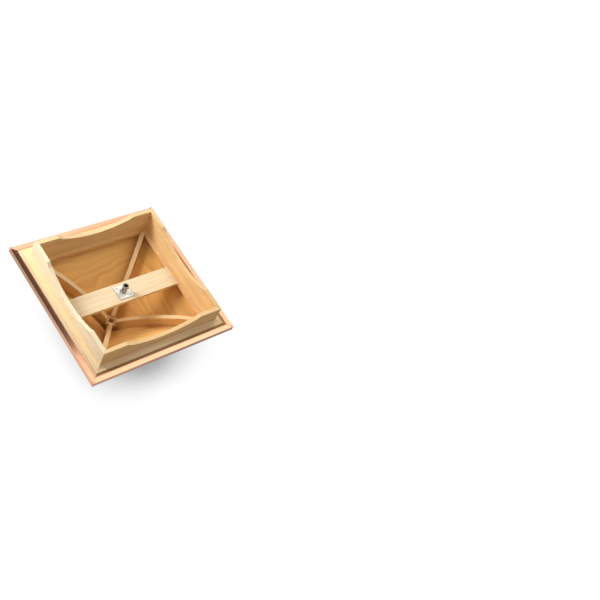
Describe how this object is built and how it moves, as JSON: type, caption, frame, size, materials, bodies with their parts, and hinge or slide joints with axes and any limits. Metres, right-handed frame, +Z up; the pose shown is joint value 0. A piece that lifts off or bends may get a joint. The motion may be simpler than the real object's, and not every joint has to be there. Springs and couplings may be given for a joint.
{
  "type": "cupola roof section",
  "caption": "Square pagoda roof section of a cupola: copper over plywood and hip rafters, on an arched wooden apron with a cross beam and a socket for a vane.",
  "frame": {"origin": "on the floor under the peak, in the plane of the four corner feet of the apron", "axes": "+Z up through the peak; the cross beam runs along X; -Y is the front"},
  "size_m": [0.8, 0.8, 0.5074],
  "materials": {
    "pine": "planed, unfinished",
    "plywood": "sanded, unfinished",
    "copper": "bright copper sheet",
    "plate_steel": "zinc plated",
    "pipe_steel": "plain steel pipe"
  },
  "bodies": {
    "root": {"apex_cap": "copper", "apron_back": "pine", "apron_front": "pine", "apron_left": "pine", "apron_right": "pine", "base_rail_back": "pine", "base_rail_front": "pine", "base_rail_left": "pine", "base_rail_right": "pine", "bracket_plate": "plate_steel", "copper_edge_back": "copper", "copper_edge_front": "copper", "copper_edge_left": "copper", "copper_edge_right": "copper", "copper_roof_back": "copper", "copper_roof_front": "copper", "copper_roof_left": "copper", "copper_roof_right": "copper", "cove_moulding_back": "pine", "cove_moulding_front": "pine", "cove_moulding_left": "pine", "cove_moulding_right": "pine", "cross_beam": "pine", "hip_rafter_back_left": "pine", "hip_rafter_back_right": "pine", "hip_rafter_front_left": "pine", "hip_rafter_front_right": "pine", "hip_seam_back_left": "copper", "hip_seam_back_right": "copper", "hip_seam_front_left": "copper", "hip_seam_front_right": "copper", "hub_block_back_left": "pine", "hub_block_back_right": "pine", "hub_block_front_left": "pine", "hub_block_front_right": "pine", "rod_collar": "copper", "set_screws": "pipe_steel", "soffit_back": "pine", "soffit_front": "pine", "soffit_left": "pine", "soffit_right": "pine", "subroof_back": "plywood", "subroof_front": "plywood", "subroof_left": "plywood", "subroof_right": "plywood", "vane_socket": "pipe_steel"}
  },
  "joints": []
}
